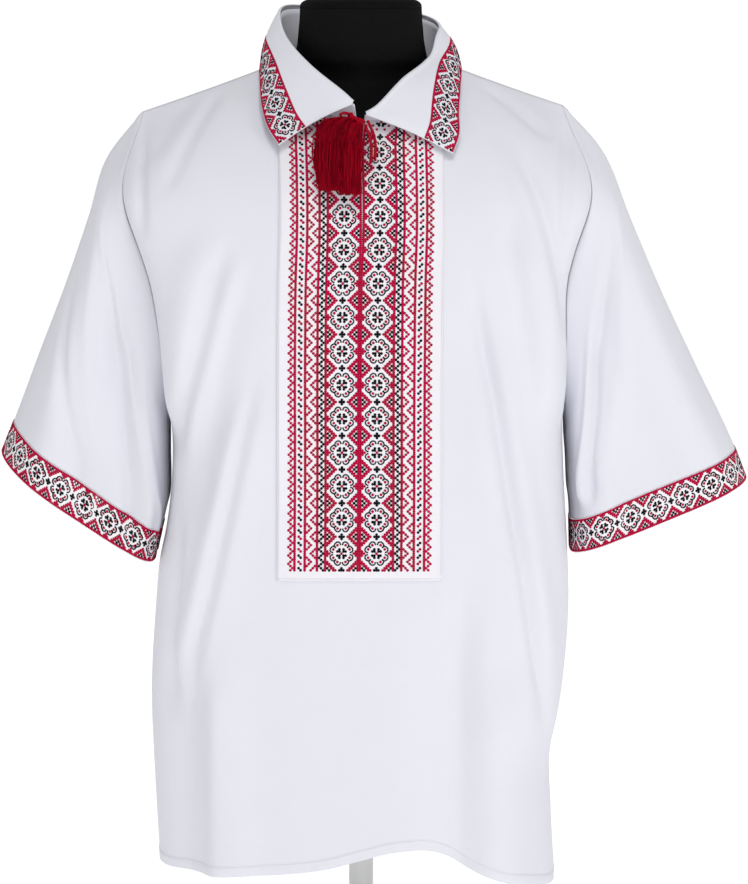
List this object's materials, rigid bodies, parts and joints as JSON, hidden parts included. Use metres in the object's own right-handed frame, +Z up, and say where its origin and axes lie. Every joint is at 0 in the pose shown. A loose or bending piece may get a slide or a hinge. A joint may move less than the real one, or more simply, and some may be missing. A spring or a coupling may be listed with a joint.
{
  "type": "vyshyvanka shirt on a dress form",
  "caption": "Men's white short-sleeved shirt with a cross-stitched chest insert, collar and cuffs and a red tasselled tie, on a black limbless dress form with a short stand.",
  "frame": {"origin": "centre of the stand base's underside, on the floor", "axes": "+Z up; the shirt's front faces -Y; the wearer's left side is +X"},
  "size_m": [0.7585, 0.2925, 0.974],
  "materials": {
    "white_cotton": "plain-woven white cotton, matt",
    "red_thread": "twisted embroidery yarn, soft sheen",
    "black_thread": "twisted embroidery yarn, soft sheen",
    "form_black": "black moulded plastic with a velvet-matt skin",
    "cap_black": "black moulded plastic, slightly smoother",
    "base_enamel": "white stove enamel"
  },
  "bodies": {
    "root": {"front": "white_cotton", "back": "white_cotton", "chest_insert": "white_cotton", "sleeve_left": "white_cotton", "sleeve_right": "white_cotton", "cuff_left": "white_cotton", "cuff_right": "white_cotton", "collar_stand": "white_cotton", "collar_leaf": "white_cotton", "tassel_left": "red_thread", "tassel_right": "red_thread", "tie_knot": "red_thread", "tie_end_near": "red_thread", "tie_end_far": "red_thread", "torso_form": "form_black", "form_neck": "form_black", "neck_cap": "cap_black", "stand_pole": "base_enamel", "stand_base": "base_enamel"}
  },
  "joints": []
}
